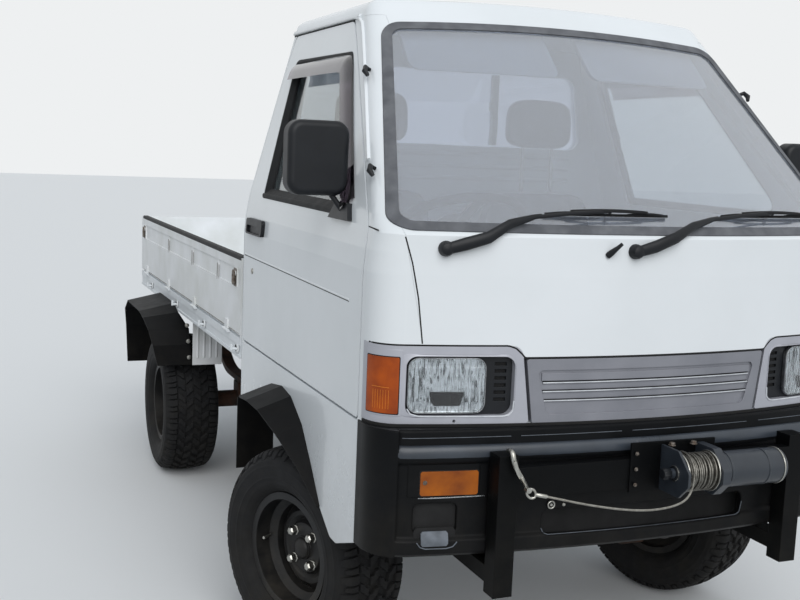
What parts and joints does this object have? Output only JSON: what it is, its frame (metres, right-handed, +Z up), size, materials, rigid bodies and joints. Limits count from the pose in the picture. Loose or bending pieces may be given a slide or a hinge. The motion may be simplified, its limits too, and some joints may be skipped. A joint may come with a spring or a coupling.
{
  "type": "kei truck",
  "caption": "Cab-over mini truck with a drop-side bed, off-road tyres under black flares, and a winch with its rope hooked to a bar guard.",
  "frame": {"origin": "on the ground below the middle of the truck's box", "axes": "+Z up, -Y towards the truck's front, +X towards the truck's left side"},
  "size_m": [1.672, 3.5048, 1.832],
  "materials": {
    "white_paint": "gloss white paint",
    "cabin_paint": "grey paint under a mat",
    "window_glass": "clear glass, slightly green",
    "seal_rubber": "black weather seal",
    "grey_trim": "grey metallic trim",
    "clear_lens": "clear fluted lens",
    "amber_lens": "amber lens",
    "red_lens": "red lens",
    "black_plastic": "grained black plastic",
    "black_sheet": "black sheet",
    "black_paint": "satin black paint",
    "drum_steel": "wound steel rope",
    "rope_steel": "galvanised steel",
    "seat_cloth": "grey woven cloth",
    "cabin_vinyl": "pale grey grained vinyl",
    "frame_paint": "black chassis paint with rust",
    "engine_iron": "cast metal",
    "pipe_steel": "rusty steel",
    "tyre_rubber": "tread rubber"
  },
  "bodies": {
    "chassis": {"cab_roof": "white_paint", "cab_front": "white_paint", "cab_rear_wall": "white_paint", "cab_side_right": "white_paint", "cab_side_left": "white_paint", "headboard": "white_paint", "bed_floor": "white_paint", "splash_panels": "white_paint", "cab_floor": "cabin_paint", "seat_platform": "cabin_paint", "cab_glass": "window_glass", "windscreen_seal": "seal_rubber", "headlamp_bezels": "grey_trim", "grille_panel": "grey_trim", "headlamps": "clear_lens", "indicators": "amber_lens", "bumper_lamps": "amber_lens", "tail_lamps": "red_lens", "front_bumper": "black_plastic", "lamp_pockets": "black_plastic", "wipers": "black_plastic", "dashboard": "black_plastic", "steering_wheel": "black_plastic", "front_flares": "black_sheet", "rear_flares": "black_sheet", "winch_mount": "black_paint", "winch": "black_paint", "fuel_tank": "black_paint", "winch_drum": "drum_steel", "winch_cable": "rope_steel", "winch_hook": "rope_steel", "seats": "seat_cloth", "sun_visors": "cabin_vinyl", "frame": "frame_paint", "rear_axle": "frame_paint", "rear_springs": "frame_paint", "front_arms": "frame_paint", "engine": "engine_iron", "exhaust": "pipe_steel"},
    "right_door": {"door_right": "white_paint", "door_glass_right": "window_glass", "door_fittings_right": "black_plastic"},
    "left_door": {"door_left": "white_paint", "door_glass_left": "window_glass", "door_fittings_left": "black_plastic"},
    "right_steer": {"knuckle_right": "frame_paint"},
    "left_steer": {"knuckle_left": "frame_paint"},
    "front_right_wheel": {"tyre_front_right": "tyre_rubber", "rim_front_right": "black_paint"},
    "front_left_wheel": {"tyre_front_left": "tyre_rubber", "rim_front_left": "black_paint"},
    "rear_right_wheel": {"tyre_rear_right": "tyre_rubber", "rim_rear_right": "black_paint"},
    "rear_left_wheel": {"tyre_rear_left": "tyre_rubber", "rim_rear_left": "black_paint"},
    "right_gate": {"side_gate_right": "white_paint"},
    "left_gate": {"side_gate_left": "white_paint"},
    "rear_gate": {"tailgate": "white_paint"}
  },
  "joints": [
    {"name": "steer_right", "type": "hinge", "parent": "chassis", "child": "right_steer", "pos_m": [-0.5, -0.85461, 0.296], "axis": [0, 0, 1], "range_deg": [-52.5, 11.5]},
    {"name": "steer_left", "type": "hinge", "parent": "chassis", "child": "left_steer", "pos_m": [0.5, -0.85461, 0.296], "axis": [0, 0, 1], "range_deg": [-52.5, 11.5]},
    {"name": "spin_front_right", "type": "hinge", "parent": "right_steer", "child": "front_right_wheel", "pos_m": [-0.63769, -0.90609, 0.296], "axis": [0.9367, 0.3502, 0], "continuous": true},
    {"name": "spin_front_left", "type": "hinge", "parent": "left_steer", "child": "front_left_wheel", "pos_m": [0.63769, -0.80313, 0.296], "axis": [0.9367, 0.3502, 0], "continuous": true},
    {"name": "spin_rear_right", "type": "hinge", "parent": "chassis", "child": "rear_right_wheel", "pos_m": [-0.647, 0.95539, 0.296], "axis": [1, 0, 0], "continuous": true},
    {"name": "spin_rear_left", "type": "hinge", "parent": "chassis", "child": "rear_left_wheel", "pos_m": [0.647, 0.95539, 0.296], "axis": [1, 0, 0], "continuous": true},
    {"name": "door_right_hinge", "type": "hinge", "parent": "chassis", "child": "right_door", "pos_m": [-0.692, -1.38061, 0.9], "axis": [0, 0, 1], "range_deg": [0, 65]},
    {"name": "door_left_hinge", "type": "hinge", "parent": "chassis", "child": "left_door", "pos_m": [0.692, -1.38061, 0.9], "axis": [0, 0, -1], "range_deg": [0, 65]},
    {"name": "gate_right_hinge", "type": "hinge", "parent": "chassis", "child": "right_gate", "pos_m": [-0.698, 0.73139, 0.783], "axis": [0, -1, 0], "range_deg": [0, 105]},
    {"name": "gate_left_hinge", "type": "hinge", "parent": "chassis", "child": "left_gate", "pos_m": [0.698, 0.73139, 0.783], "axis": [0, 1, 0], "range_deg": [0, 105]},
    {"name": "tailgate_hinge", "type": "hinge", "parent": "chassis", "child": "rear_gate", "pos_m": [0, 1.74639, 0.783], "axis": [-1, 0, 0], "range_deg": [0, 175]}
  ],
  "couplings": [
    {"joint": "steer_left", "follows": "steer_right", "ratio": 1}
  ]
}
